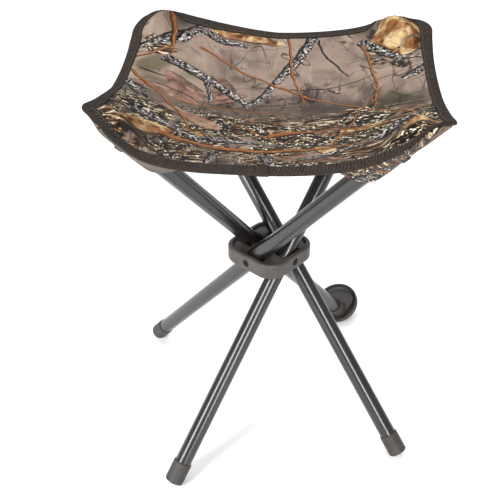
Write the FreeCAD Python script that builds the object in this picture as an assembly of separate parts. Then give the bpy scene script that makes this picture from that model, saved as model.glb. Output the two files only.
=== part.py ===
import FreeCAD, Part

import math
import os

# A folding field stool. Four straight tubes cross at a moulded hub and carry a
# square sling seat by its corners. Each tube turns on its own bolt in the hub.
#
# Every leg's pieces are modelled once in the leg's own quarter frame: origin on
# the stool's axis at the ground, +X out through the hub face that holds the
# leg's bolt, +Z up. The leg rises towards +Y. Millimetres and degrees.

# ---- Driving dimensions -----------------------------------------------------

# The wide foot reaches further back than the seat does, so the stool's axis
# stands this far from the middle of the whole stool's outline.
AXIS_X = 0.0
AXIS_Y = -3.75

# Face of the hub that holds each leg's bolt, as an angle about +Z.
LEG_FACES = {"a": 135.0, "b": 45.0, "c": 315.0, "d": 225.0}
WIDE_FOOT_LEG = "a"

TUBE_R = 9.5
TUBE_WALL = 1.2
LEG_TILT = 40.66        # from the vertical, with the stool open
LEG_OFFSET = 23.3       # from the stool's axis to each tube's centre line
PIVOT_Z = 227.0         # height of the four bolts
TUBE_DOWN = 281.0       # from the bolt to the tube's lower end
TUBE_UP = 293.0         # from the bolt to the tube's upper end

CAP_END = 292.1         # from the bolt to the plain foot cap's end
CAP_LENGTH = 26.0
CAP_R = 10.85
CAP_EDGE_R = 1.5

DISH_REACH = 284.6      # from the bolt to the top of the wide foot's dish
DISH_TILT = 30.0        # from the horizontal, raised on the outer side
DISH_SHIFT = 7.0        # the dish's centre, outwards from the leg's centre line
DISH_SIDE = 8.5         # and sideways, away from the neighbouring feet when folded
DISH_R = 31.0
DISH_RIM = 7.0
DISH_RIM_WALL = 2.0
DISH_FLOOR_R = 25.0
DISH_FLOOR = 3.0        # the floor's thickness
DISH_FLANK = 4.0        # from the floor's underside up to the outer wall's foot
SOCKET_R = 12.0
SOCKET_LENGTH = 24.0
BOSS_HALF_WIDTH = 12.5
BOSS_REACH = 15.0
BOSS_HEIGHT = 6.5
MOULDED_OVERLAP = 1.0   # how far one volume of a moulding runs into the next

PLUG_HEAD = 3.0
PLUG_DEPTH = 14.0
PLUG_WALL = 1.6
PLUG_EDGE_R = 1.8

HUB_HALF = 40.0
HUB_CORNER_R = 21.0
HUB_BELOW = 10.5
HUB_ABOVE = 9.0
HUB_EDGE_R = 3.0
HUB_RIM = 5.0
HUB_DISH_DEPTH = 3.5
SLOT_GAP = 0.4

BOLT_R = 2.5
BOLT_FIT = 0.05
BOLT_HEAD_R = 4.0
BOLT_HEAD = 2.2
BOLT_HEAD_EDGE_R = 1.1
BOLT_HEAD_GAP = 0.4     # between the head and its recess
DRIVE_LENGTH = 4.2      # the cross recess in the bolt's head
DRIVE_WIDTH = 1.2
DRIVE_DEPTH = 1.0
BOLT_RECESS = 3.4
BOLT_TIP = 6.0          # from the stool's axis to the bolt's inner end
NUT_ACROSS = 8.0
NUT_THICK = 3.6
NUT_SEAT = 10.4         # from the stool's axis to the nut's outer face
NUT_GAP = 0.15

SEAT_TURN = 83.3        # the seat corner, from the quarter frame's +X
SEAT_CORNER = 214.4     # from the stool's axis to each blunt corner of the seat, level
SEAT_SIDE = 165.0       # and to each of its sides
SEAT_SHOULDER = 126.0   # from the middle of a side to where its corner starts to draw in
CORNER_Z = 466.0
SIDE_MIDDLE_Z = 426.75  # the hem at the middle of a side
CENTRE_Z = 399.0
CLOTH = 2.0             # the panel as a plain solid
HEM_WIDTH = 15.0
HEM_THICK = 3.2
PANEL_GAP = 0.4         # between neighbouring panels, each side of the fold line
FOLD_TURN = 86.5        # the leg's fold line, which passes inside the tube's end

POCKET_MOUTH = 222.0    # from the bolt to the pocket's open end
POCKET_TOP = 299.0
POCKET_MOUTH_HALF_WIDTH = 30.0
POCKET_MOUTH_HALF_DEPTH = 12.5
POCKET_TOP_HALF_WIDTH = 13.5
POCKET_TOP_HALF_DEPTH = 12.0
POCKET_GAP = 0.3
RIVET_AT = 262.0
RIVET_R = 2.4
RIVET_HEAD_R = 4.6
RIVET_HEAD = 2.4
RIVET_HEAD_EDGE_R = 1.7
RIVET_HEAD_GAP = 0.1    # between the head and the pocket's cloth
RIVET_TAIL_R = 3.4      # the part spread inside the tube
RIVET_TAIL = 1.6

# ---- Shared helpers ---------------------------------------------------------

X_AXIS = FreeCAD.Vector(1, 0, 0)
Y_AXIS = FreeCAD.Vector(0, 1, 0)
Z_AXIS = FreeCAD.Vector(0, 0, 1)
ORIGIN = FreeCAD.Vector(0, 0, 0)


def vec(x, y, z=0.0):
    return FreeCAD.Vector(x, y, z)


def moved(shape, offset):
    result = shape.copy()
    result.translate(offset)
    return result


def turned(shape, angle, axis=Z_AXIS, centre=ORIGIN):
    result = shape.copy()
    result.rotate(centre, axis, angle)
    return result


def along_leg(shape):
    """Puts a shape modelled about +Z, with its origin at the bolt, on the tilted leg."""
    return moved(turned(shape, -LEG_TILT, X_AXIS), vec(LEG_OFFSET, 0, PIVOT_Z))


def into_row(shape, face_angle):
    """Turns a shape from its leg's quarter frame to its place on the stool."""
    return moved(turned(shape, face_angle), vec(AXIS_X, AXIS_Y))


def polygon_solid(points, direction):
    outline = Part.makePolygon(points + points[:1])
    return Part.Face(outline).extrude(direction)


def above_ground(shape):
    """Cuts off what is below the ground, which leaves a flat to stand on."""
    size = 1000.0
    return shape.cut(Part.makeBox(size, size, size, vec(-size / 2, -size / 2, -size)))


def cylinder(radius, start, length, axis=Z_AXIS):
    return Part.makeCylinder(radius, length, start, axis)


# ---- Legs -------------------------------------------------------------------


def tube():
    """The bare tube, drilled for the bolt at the hub and for the pocket's rivet."""
    length = TUBE_DOWN + TUBE_UP
    outer = cylinder(TUBE_R, vec(0, 0, -TUBE_DOWN), length)
    inner = cylinder(TUBE_R - TUBE_WALL, vec(0, 0, -TUBE_DOWN), length)
    bolt_hole = cylinder(BOLT_R + BOLT_FIT, vec(-2 * TUBE_R, 0, 0), 4 * TUBE_R, X_AXIS)
    rivet_hole = cylinder(RIVET_R, vec(0, 0, RIVET_AT), 2 * TUBE_R, Y_AXIS)
    return along_leg(outer.cut(inner).cut(bolt_hole).cut(rivet_hole))


def top_plug():
    """A push-in plug that closes the tube's upper end inside the seat's pocket."""
    bore_r = TUBE_R - TUBE_WALL
    head = cylinder(TUBE_R, vec(0, 0, TUBE_UP), PLUG_HEAD)
    top_ring = [e for e in head.Edges if is_ring(e) and e.CenterOfMass.z > TUBE_UP + PLUG_HEAD / 2]
    head = head.makeFillet(PLUG_EDGE_R, top_ring)
    skirt = cylinder(bore_r, vec(0, 0, TUBE_UP - PLUG_DEPTH), PLUG_DEPTH)
    hollow = cylinder(bore_r - PLUG_WALL, vec(0, 0, TUBE_UP - PLUG_DEPTH), PLUG_DEPTH)
    return along_leg(head.fuse(skirt).cut(hollow).removeSplitter())


def foot_cap():
    """A plain rubber cap pushed over the tube's lower end, worn flat on the ground."""
    body = cylinder(CAP_R, vec(0, 0, -CAP_END), CAP_LENGTH)
    body = body.makeFillet(CAP_EDGE_R, [e for e in body.Edges if is_ring(e)])
    bore = cylinder(TUBE_R, vec(0, 0, -TUBE_DOWN), TUBE_DOWN)
    return above_ground(along_leg(body.cut(bore)))


def is_ring(edge):
    return isinstance(edge.Curve, Part.Circle)


def dish():
    """The wide foot's shallow dish, about +Z, with its floor's top at z = 0."""
    inner_r = DISH_R - DISH_RIM_WALL
    outline = [
        vec(0, 0, -DISH_FLOOR),
        vec(DISH_FLOOR_R, 0, -DISH_FLOOR),
        vec(DISH_R - DISH_RIM_WALL / 4, 0, DISH_FLANK - DISH_FLOOR),
        vec(DISH_R, 0, DISH_RIM),
        vec(inner_r, 0, DISH_RIM),
        vec(inner_r - DISH_RIM_WALL / 2, 0, DISH_RIM / 3),
        vec(DISH_FLOOR_R, 0, 0),
        vec(0, 0, 0),
    ]
    profile = Part.Face(Part.makePolygon(outline + outline[:1]))
    return profile.revolve(ORIGIN, Z_AXIS, 360)


def boss():
    """The raised round-ended boss that carries the socket across the dish's floor."""
    foot = -MOULDED_OVERLAP
    height = BOSS_HEIGHT + MOULDED_OVERLAP
    corner = vec(-BOSS_HALF_WIDTH, -BOSS_REACH, foot)
    block = Part.makeBox(2 * BOSS_HALF_WIDTH, BOSS_REACH, height, corner)
    ends = [cylinder(BOSS_HALF_WIDTH, vec(0, y, foot), height) for y in (-BOSS_REACH, 0)]
    return block.multiFuse(ends).removeSplitter()


def wide_foot():
    """One rubber moulding: a socket for the tube, a boss and a dish that spreads the load."""
    end = math.radians(LEG_TILT)
    centre = vec(LEG_OFFSET, -DISH_REACH * math.sin(end), PIVOT_Z - DISH_REACH * math.cos(end))
    base = moved(dish(), vec(DISH_SIDE, -DISH_SHIFT)).fuse(boss())
    base = moved(turned(base, -DISH_TILT, X_AXIS), centre)
    start = vec(0, 0, -DISH_REACH - MOULDED_OVERLAP)
    socket = along_leg(cylinder(SOCKET_R, start, SOCKET_LENGTH + MOULDED_OVERLAP))
    bore = along_leg(cylinder(TUBE_R, vec(0, 0, -TUBE_DOWN), TUBE_DOWN))
    return above_ground(base.fuse(socket).cut(bore).removeSplitter())


# ---- Hub and its fasteners --------------------------------------------------


def rounded_square(half, radius, z_low, z_high):
    block = Part.makeBox(2 * half, 2 * half, z_high - z_low, vec(-half, -half, z_low))
    uprights = [e for e in block.Edges if abs(e.tangentAt(e.FirstParameter).z) > 0.9]
    return block.makeFillet(radius, uprights)


def leg_slot():
    """The space one tube sweeps in the hub, from folded upright to open."""
    reach = HUB_HALF
    clear_r = TUBE_R + SLOT_GAP
    tilt = math.radians(LEG_TILT)
    half_width = clear_r / math.cos(tilt)
    lean = reach * math.tan(tilt)
    waist = clear_r * math.tan(tilt / 2)
    x_low = LEG_OFFSET - clear_r
    upper = [
        vec(x_low, -clear_r, reach),
        vec(x_low, -clear_r, waist),
        vec(x_low, 0, 0),
        vec(x_low, clear_r, -waist),
        vec(x_low, half_width + lean, reach),
    ]
    lower = [vec(x_low, -p.y, -p.z) for p in upper]
    wedges = [polygon_solid(points, vec(2 * clear_r, 0, 0)) for points in (upper, lower)]
    middle = cylinder(clear_r, vec(x_low, 0, 0), 2 * clear_r, X_AXIS)
    return moved(wedges[0].multiFuse([wedges[1], middle]), vec(0, 0, PIVOT_Z))


def bolt_hole():
    """A through hole for one bolt, its head's recess and the nut's pocket, open below."""
    shank = cylinder(BOLT_R + BOLT_FIT, vec(0, 0, PIVOT_Z), HUB_HALF, X_AXIS)
    recess_start = vec(HUB_HALF - BOLT_RECESS, 0, PIVOT_Z)
    recess = cylinder(BOLT_HEAD_R + BOLT_HEAD_GAP, recess_start, HUB_HALF, X_AXIS)
    half = NUT_ACROSS / 2 + NUT_GAP
    tall = HUB_BELOW + nut_corner_r() + NUT_GAP
    depth = NUT_THICK + NUT_GAP
    pocket = Part.makeBox(depth, 2 * half, tall, vec(NUT_SEAT - depth, -half, PIVOT_Z - HUB_BELOW))
    return shank.multiFuse([recess, pocket])


def nut_corner_r():
    return NUT_ACROSS / math.sqrt(3)


def hub():
    """The moulded hub: a rounded square ring, a centre post and webs, with four leg slots."""
    low = PIVOT_Z - HUB_BELOW
    high = PIVOT_Z + HUB_ABOVE
    block = rounded_square(HUB_HALF, HUB_CORNER_R, low, high)
    rims = [e for e in block.Edges if min(abs(e.CenterOfMass.z - z) for z in (low, high)) < 0.01]
    block = block.makeFillet(HUB_EDGE_R, rims)
    dish_r = HUB_CORNER_R - HUB_RIM
    dished = rounded_square(HUB_HALF - HUB_RIM, dish_r, high - HUB_DISH_DEPTH, high + HUB_ABOVE)
    block = turned(block.cut(dished), LEG_FACES["a"])
    for face_angle in LEG_FACES.values():
        block = block.cut(turned(leg_slot(), face_angle)).cut(turned(bolt_hole(), face_angle))
    return moved(block.removeSplitter(), vec(AXIS_X, AXIS_Y))


def pivot_bolt():
    """A round-head bolt from the hub's face through the tube into the centre post."""
    seat = HUB_HALF - BOLT_RECESS
    shank = cylinder(BOLT_R, vec(BOLT_TIP, 0, PIVOT_Z), seat - BOLT_TIP, X_AXIS)
    head = cylinder(BOLT_HEAD_R, vec(seat, 0, PIVOT_Z), BOLT_HEAD, X_AXIS)
    rim = [e for e in head.Edges if is_ring(e) and e.CenterOfMass.x > seat + BOLT_HEAD / 2]
    head = head.makeFillet(BOLT_HEAD_EDGE_R, rim)
    drive_floor = seat + BOLT_HEAD - DRIVE_DEPTH
    corner = vec(drive_floor, -DRIVE_WIDTH / 2, PIVOT_Z - DRIVE_LENGTH / 2)
    drive = Part.makeBox(BOLT_HEAD, DRIVE_WIDTH, DRIVE_LENGTH, corner)
    cross = drive.fuse(turned(drive, 90, X_AXIS, vec(0, 0, PIVOT_Z)))
    return shank.fuse(head).cut(cross).removeSplitter()


def lock_nut():
    """A hexagon nut held in the centre post's pocket, two flats upright."""
    points = []
    for corner in range(6):
        angle = math.radians(60 * corner)
        points.append(vec(0, nut_corner_r() * math.sin(angle), nut_corner_r() * math.cos(angle)))
    nut = polygon_solid(points, vec(NUT_THICK, 0, 0))
    nut = moved(nut, vec(NUT_SEAT - NUT_THICK, 0, PIVOT_Z))
    return nut.cut(cylinder(BOLT_R, vec(0, 0, PIVOT_Z), HUB_HALF, X_AXIS))


# ---- Seat -------------------------------------------------------------------
# The cloth folds on four lines that run from its centre towards the corners and
# on the four lines halfway between them, so it is eight panels, two to a leg.
# The sheet is built with a corner on +X and cut along those lines.


def turned_point(reach, angle):
    return vec(reach * math.cos(math.radians(angle)), reach * math.sin(math.radians(angle)))


def seat_height(point):
    """The cloth's underside over one eighth: flat through centre, corner and side middle."""
    across = point.y / (SEAT_SIDE / math.sqrt(2))
    along = (point.x - point.y) / SEAT_CORNER
    return CENTRE_Z + along * (CORNER_Z - CENTRE_Z) + across * (SIDE_MIDDLE_Z - CENTRE_Z)


def eighth(inset, thick, hand):
    """One flat eighth of the sheet, from the blunt +X corner to the middle of a side."""
    side = SEAT_SIDE - inset
    corner = SEAT_CORNER * side / SEAT_SIDE
    shoulder = SEAT_SHOULDER * side / SEAT_SIDE
    level = [
        ORIGIN,
        vec(corner, 0),
        vec((side + shoulder) / math.sqrt(2), (side - shoulder) / math.sqrt(2)),
        vec(side / math.sqrt(2), side / math.sqrt(2)),
    ]
    points = [vec(p.x, p.y, seat_height(p)) for p in level]
    solid = polygon_solid(points, vec(0, 0, thick))
    if hand < 0:
        solid = solid.mirror(ORIGIN, Y_AXIS)
    return solid


def sheet(inset, thick):
    """The whole sling as one solid of eight flat facets, this far in from its edge."""
    eighths = [
        turned(eighth(inset, thick, hand), SEAT_TURN + 90.0 * quarter)
        for quarter in range(4)
        for hand in (1, -1)
    ]
    return eighths[0].multiFuse(eighths[1:])


def between_folds(hand):
    """The upright wedge between a leg's fold line and the next one on this hand."""
    reach = 3 * SEAT_SIDE
    half_angle = 22.5
    tip = vec(PANEL_GAP / math.sin(math.radians(half_angle)), 0)
    sides = [tip + turned_point(reach, angle) for angle in (-half_angle, half_angle)]
    wedge = polygon_solid([tip] + sides, vec(0, 0, 2 * CORNER_Z))
    return turned(wedge, FOLD_TURN + hand * half_angle)


def seat_panel(hand):
    return sheet(HEM_WIDTH, CLOTH).common(between_folds(hand)).removeSplitter()


def hem_tape(hand):
    """The webbing folded over the panel's outer edge, as a plain strip."""
    inside = sheet(HEM_WIDTH, 2 * HEM_THICK)
    strip = sheet(0, HEM_THICK).cut(moved(inside, vec(0, 0, -HEM_THICK / 2)))
    return strip.common(between_folds(hand)).removeSplitter()


def ellipse_wire(half_width, half_depth, z):
    wire = Part.Wire(Part.Ellipse(ORIGIN, half_width, half_depth).toShape())
    wire.translate(vec(0, 0, z))
    return wire


def under_seat():
    """A block with the seat's facets for its top, which trims the pocket beneath the cloth."""
    depth = 300.0
    return moved(sheet(-SEAT_SIDE / 5, depth), vec(0, 0, -depth - POCKET_GAP))


def corner_pocket():
    """The cloth pocket sewn under a seat corner, a flattened sheath round the tube's end."""
    mouth = ellipse_wire(POCKET_MOUTH_HALF_WIDTH, POCKET_MOUTH_HALF_DEPTH, POCKET_MOUTH)
    top = ellipse_wire(POCKET_TOP_HALF_WIDTH, POCKET_TOP_HALF_DEPTH, POCKET_TOP)
    sheath = Part.makeLoft([mouth, top], True, True)
    room_length = TUBE_UP + PLUG_HEAD + POCKET_GAP - POCKET_MOUTH
    room = cylinder(TUBE_R + POCKET_GAP, vec(0, 0, POCKET_MOUTH), room_length)
    rivet_hole = cylinder(RIVET_R, vec(0, 0, RIVET_AT), 2 * POCKET_MOUTH_HALF_DEPTH, Y_AXIS)
    return along_leg(sheath.cut(room).cut(rivet_hole)).common(under_seat())


def pocket_rivet():
    """The round-head rivet that pins the pocket to the underside of the tube."""
    share = (RIVET_AT - POCKET_MOUTH) / (POCKET_TOP - POCKET_MOUTH)
    surface = POCKET_MOUTH_HALF_DEPTH + share * (POCKET_TOP_HALF_DEPTH - POCKET_MOUTH_HALF_DEPTH)
    tail_seat = math.sqrt((TUBE_R - TUBE_WALL) ** 2 - RIVET_TAIL_R ** 2) - RIVET_HEAD_GAP
    head_seat = surface + RIVET_HEAD_GAP
    tail = cylinder(RIVET_TAIL_R, vec(0, tail_seat - RIVET_TAIL, RIVET_AT), RIVET_TAIL, Y_AXIS)
    shank_start = tail_seat - RIVET_TAIL / 2
    shank_end = head_seat + RIVET_HEAD / 2
    shank = cylinder(RIVET_R, vec(0, shank_start, RIVET_AT), shank_end - shank_start, Y_AXIS)
    head = cylinder(RIVET_HEAD_R, vec(0, head_seat, RIVET_AT), RIVET_HEAD, Y_AXIS)
    rim = [e for e in head.Edges if is_ring(e) and e.CenterOfMass.y > head_seat + RIVET_HEAD / 2]
    head = head.makeFillet(RIVET_HEAD_EDGE_R, rim)
    return along_leg(tail.multiFuse([shank, head]).removeSplitter())


# ---- The whole stool --------------------------------------------------------


def build():
    nodes = {"hub": hub()}
    for leg, face_angle in LEG_FACES.items():
        pieces = {
            "tube": tube(),
            "top_plug": top_plug(),
            "pivot_bolt": pivot_bolt(),
            "lock_nut": lock_nut(),
            "corner_pocket": corner_pocket(),
            "pocket_rivet": pocket_rivet(),
            "seat_panel_left": seat_panel(1),
            "seat_panel_right": seat_panel(-1),
            "hem_tape_left": hem_tape(1),
            "hem_tape_right": hem_tape(-1),
        }
        if leg == WIDE_FOOT_LEG:
            pieces["wide_foot"] = wide_foot()
        else:
            pieces["foot_cap"] = foot_cap()
        for name, shape in pieces.items():
            nodes[f"{name}_{leg}"] = into_row(shape, face_angle)
    return nodes


os.makedirs("parts", exist_ok=True)
for node, shape in build().items():
    shape.exportStep(f"parts/{node}.step")
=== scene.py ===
import math

import bpy
import numpy as np
from mathutils import Matrix, Vector, noise


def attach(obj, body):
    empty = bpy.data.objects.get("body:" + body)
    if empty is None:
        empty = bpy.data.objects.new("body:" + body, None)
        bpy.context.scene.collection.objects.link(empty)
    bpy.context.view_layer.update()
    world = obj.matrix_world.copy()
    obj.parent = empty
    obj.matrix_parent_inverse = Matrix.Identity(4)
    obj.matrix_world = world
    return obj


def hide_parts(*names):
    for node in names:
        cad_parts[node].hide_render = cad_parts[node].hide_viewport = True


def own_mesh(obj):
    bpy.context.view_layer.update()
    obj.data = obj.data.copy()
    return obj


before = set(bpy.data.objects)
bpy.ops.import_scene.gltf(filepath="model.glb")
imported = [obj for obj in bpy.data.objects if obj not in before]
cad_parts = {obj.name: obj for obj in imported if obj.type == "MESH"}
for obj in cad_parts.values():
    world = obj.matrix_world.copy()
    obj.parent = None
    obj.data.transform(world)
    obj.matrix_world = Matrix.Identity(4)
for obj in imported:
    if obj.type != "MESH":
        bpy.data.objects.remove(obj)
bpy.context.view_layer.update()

# A folding field stool. Metres. The legs, hub and fasteners are the CAD nodes with
# finished materials. The seat cloth, its binding and the corner pockets are made
# here, panel by panel, so that each panel can fold with its own CAD body.

# ---- The stool's layout, as in the CAD --------------------------------------

AXIS = Vector((0.0, -0.00375, 0.0))
LEG_FACES = {"a": 135.0, "b": 45.0, "c": 315.0, "d": 225.0}    # which way each hub face looks
PIVOT_Z = 0.227
LEG_TILT = math.radians(40.66)
LEG_OFFSET = 0.0233         # from the stool's axis to the plane that a leg swings in
TUBE_R = 0.0095
TUBE_END = 0.296            # from a leg's bolt to the tube's upper end
FOLD_TURN = 86.5            # from a hub face to the fold line over its leg
PANEL_TURN = 45.0           # each panel's share of the whole turn
SEAT_AZIMUTH = 353.3        # the seat's own "right", as an angle about +Z
CENTRE_Z = 0.399            # the seat's lowest point

# ---- The seat cloth's shape -------------------------------------------------

FLAT_HALF = 0.172           # half the flat cut's width
HALF_LEFT = 0.1652          # from the stool's axis to the hung seat's sides, at their middles
HALF_RIGHT = 0.1730
HALF_FRONT = 0.1778
HALF_BACK = 0.1620
SIDE_LIFT = 0.0317          # from the bowl's lowest point to the middle of a side
ROLL_START = 0.84           # where the cloth starts to roll over towards its edge
ROLL_SIDE = 0.009           # and how far each edge then drops
ROLL_FRONT = 0.008
ROLL_BACK = 0.003
ROLL_DRAW = 0.4             # how far in it draws, as a share of that drop
# Each corner, by its leg: how far it draws in sideways and in depth, how high it
# lifts, how soon it rises along the front or back and along the side, and how
# round the cloth is cut there.
CORNERS = {
    "a": (0.15, 0.05, 0.0480, 3.60, 1.15, 0.42),
    "b": (0.034, 0.22, 0.0345, 1.35, 2.25, 0.26),
    "c": (0.00, 0.20, 0.0290, 2.08, 2.08, 0.14),
    "d": (0.24, 0.15, 0.0425, 2.30, 1.60, 0.26),
}
CORNER_SIGNS = {"a": (-1, -1), "b": (-1, 1), "c": (1, 1), "d": (1, -1)}
RIDGE_CLEARANCE = 0.0020    # the cloth over each tube's upper end
RIDGE_SLOPE = 0.75          # how steeply it falls to the tube's sides
RIDGE_BEYOND = 0.45         # and past the tube's end
RIDGE_BLEND = 0.004
CLOTH = 0.0011
NORMAL_STEP = 0.004

PANEL_LINES = 46            # across a panel, and from the seat's centre out
PANEL_RINGS = 62
PANEL_EDGE = 0.002          # how far short of the tape's fold the cloth stops
HEM_LINES = 92
HEM_WIDTH = 0.0145
HEM_BACK_WIDTH = 0.0135
JOIN_AT = 269.3             # where the tape's end laps its start, as an angle on the flat cloth
JOIN_SPAN = 3.6
JOIN_LINES = 12
JOIN_MARGIN = 0.0008        # how much wider the lap is
JOIN_BULK = 0.0011          # and how much thicker
STITCH_PITCH = 0.0036
STITCH_HALF_LENGTH = 0.0012
STITCH_HALF_WIDTH = 0.00032
STITCH_INSET = 0.0021       # from the tape's edge to its row of stitches
STITCH_HEIGHT = 0.0019      # from the cloth's middle to the thread
STITCH_STEP = 0.2           # the turn between the two points that give a stitch its heading

POCKET_MOUTH = 0.222        # along the tube, from its bolt
POCKET_SPREAD = 24.0        # how far round the hem the pocket's sides run, in degrees
POCKET_TIP = 0.8
POCKET_CAP = 0.10           # the share of the pocket's length that closes its outer end
POCKET_UNDER = 0.0122       # from the tube's centre line to the cloth beneath it
POCKET_PAST_END = 0.004
POCKET_BELOW_SEAT = 0.0022
POCKET_ROWS = 40
POCKET_COLUMNS = 56


def rotated(x, y, degrees):
    """A point turned about the origin."""
    angle = math.radians(degrees)
    return x * math.cos(angle) - y * math.sin(angle), x * math.sin(angle) + y * math.cos(angle)


def smooth_max(a, b, softness):
    """The greater of two values, rounded off where they cross."""
    return (a + b + np.sqrt((a - b) ** 2 + softness ** 2)) / 2


def noise_field(u, v, scale, seed):
    """Smooth noise from -1 to 1 over the cloth."""
    flat = zip(np.ravel(u), np.ravel(v))
    values = [noise.noise(Vector((x * scale, y * scale, seed))) for x, y in flat]
    return np.array(values).reshape(np.shape(u))


def wrinkles(u, v):
    """Soft creases: fans from the corners, folds along the floor and a fine rumple."""
    rim = np.maximum(np.abs(u), np.abs(v))
    inside = 1 - rim ** 10
    rumple = 0.0011 * noise_field(u, v, 3.1, 4.0) + 0.0006 * noise_field(u, 2.2 * v, 6.3, 9.0)
    fans = 0.0
    for number, (corner_u, corner_v) in enumerate(CORNER_SIGNS.values()):
        du, dv = (u - corner_u) * -corner_u, (v - corner_v) * -corner_v
        reach = np.hypot(du, dv)
        turn = np.arctan2(dv, du + 1e-9)
        wave = np.sin(11 * turn + 3 * reach + 1.7 * number)
        fans = fans + 0.0019 * wave * np.exp(-((reach - 0.42) / 0.24) ** 2)
    floor = 0.0016 * np.sin(21 * v + 2.2 * np.sin(3.1 * u) + 0.8) * np.exp(-((v + 0.42) / 0.33) ** 2)
    return inside * (rumple + fans + floor)


def by_corner(u, v, column):
    """One of the corners' values for each point, taken from the corner of its quarter."""
    value = np.zeros(np.shape(u))
    for leg, (sign_u, sign_v) in CORNER_SIGNS.items():
        here = ((u < 0) == (sign_u < 0)) & ((v < 0) == (sign_v < 0))
        value = np.where(here, CORNERS[leg][column], value)
    return value


def rolled(toward_edge, along_edge, drop):
    """How far an edge has dropped at a point, and how far it has drawn in."""
    ramp = np.maximum((toward_edge - ROLL_START) / (1 - ROLL_START), 0) ** 2
    fade = 1 - along_edge ** 4
    return drop * ramp * fade, ROLL_DRAW * drop * (1 - ramp * fade) * fade


def seat_point(u, v, wrinkled=True):
    """The hung cloth's middle surface over the flat square, u to the right and v back."""
    u, v = np.broadcast_arrays(np.asarray(u, float), np.asarray(v, float))
    across, along = np.abs(u), np.abs(v)
    side_drop, side_draw = rolled(across, along, ROLL_SIDE)
    end_drop, end_draw = rolled(along, across, np.where(v < 0, ROLL_FRONT, ROLL_BACK))
    half_s = np.where(u < 0, HALF_LEFT, HALF_RIGHT) + side_draw
    half_t = np.where(v < 0, HALF_FRONT, HALF_BACK) + end_draw
    s = half_s * u * (1 - by_corner(u, v, 0) * along ** 6 * across ** 3)
    t = half_t * v * (1 - by_corner(u, v, 1) * across ** 6 * along ** 3)
    x, y = rotated(s, t, SEAT_AZIMUTH)
    bowl = SIDE_LIFT * (u * u + v * v - u * u * v * v)
    lift = across ** by_corner(u, v, 3) * along ** by_corner(u, v, 4)
    z = CENTRE_Z + bowl - side_drop - end_drop + by_corner(u, v, 2) * lift
    if wrinkled:
        z = z + wrinkles(u, v)
    for face in LEG_FACES.values():
        z = smooth_max(z, ridge_height(x, y, face), RIDGE_BLEND)
    return np.stack([x + AXIS.x, y + AXIS.y, z], -1)


def ridge_height(x, y, face):
    """The tent that one tube's upper end holds up under the cloth."""
    beside, out = rotated(x, y, -face)
    beside = beside - LEG_OFFSET
    end = TUBE_END * math.sin(LEG_TILT) - TUBE_R * math.cos(LEG_TILT)
    radius = TUBE_R + RIDGE_CLEARANCE
    centre = PIVOT_Z + np.minimum(out, end) / math.tan(LEG_TILT)
    top = centre + radius / math.sin(LEG_TILT) - RIDGE_SLOPE * (np.hypot(beside, radius) - radius)
    top = top - RIDGE_BEYOND * np.maximum(out - end, 0)
    return np.where(out > 0.05, top, 0.0)


def seat_normal(u, v):
    """The upward unit normal of the hung cloth."""
    along_u = seat_point(u + NORMAL_STEP, v) - seat_point(u - NORMAL_STEP, v)
    along_v = seat_point(u, v + NORMAL_STEP) - seat_point(u, v - NORMAL_STEP)
    normal = np.cross(along_u, along_v)
    return normal / np.linalg.norm(normal, axis=-1, keepdims=True)


def edge_points(angles, inset=0.0):
    """Where rays from the flat cloth's centre meet its edge, or a line inside that edge."""
    c, s = np.cos(np.radians(angles)), np.sin(np.radians(angles))
    reach = (1 - inset) / np.maximum(np.abs(c), np.abs(s))
    for leg, (sign_u, sign_v) in CORNER_SIGNS.items():
        rounding = CORNERS[leg][5]
        middle = 1 - rounding
        toward = (c * sign_u + s * sign_v) * middle
        arc = toward + np.sqrt(np.maximum(toward ** 2 - 2 * middle ** 2 + (rounding - inset) ** 2, 0))
        rounded = np.minimum(c * sign_u, s * sign_v) * reach > middle
        reach = np.where(rounded, arc, reach)
    return c * reach, s * reach


def panel_start(leg, hand):
    """The flat angle at which a leg's left (+1) or right (-1) panel begins."""
    fold = (LEG_FACES[leg] + FOLD_TURN - SEAT_AZIMUTH) % 360
    return fold if hand > 0 else fold - PANEL_TURN


# ---- Meshes -----------------------------------------------------------------


def mesh_object(name, points, faces, materials, uvs=None, kinds=None, normals=None):
    """A smooth mesh, with kinds as each face's place in the list of materials."""
    mesh = bpy.data.meshes.new(name)
    mesh.from_pydata([tuple(p) for p in points], [], faces)
    for material in materials:
        mesh.materials.append(material)
    mesh.polygons.foreach_set("use_smooth", [True] * len(faces))
    if kinds is not None:
        mesh.polygons.foreach_set("material_index", kinds)
    if uvs is not None:
        layer = mesh.uv_layers.new(name="Cloth")
        corners = np.array([uvs[loop.vertex_index] for loop in mesh.loops], float)
        layer.data.foreach_set("uv", corners.ravel())
    if normals is not None:
        mesh.normals_split_custom_set_from_vertices([tuple(n) for n in normals])
    obj = bpy.data.objects.new(name, mesh)
    bpy.context.scene.collection.objects.link(obj)
    return obj


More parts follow.
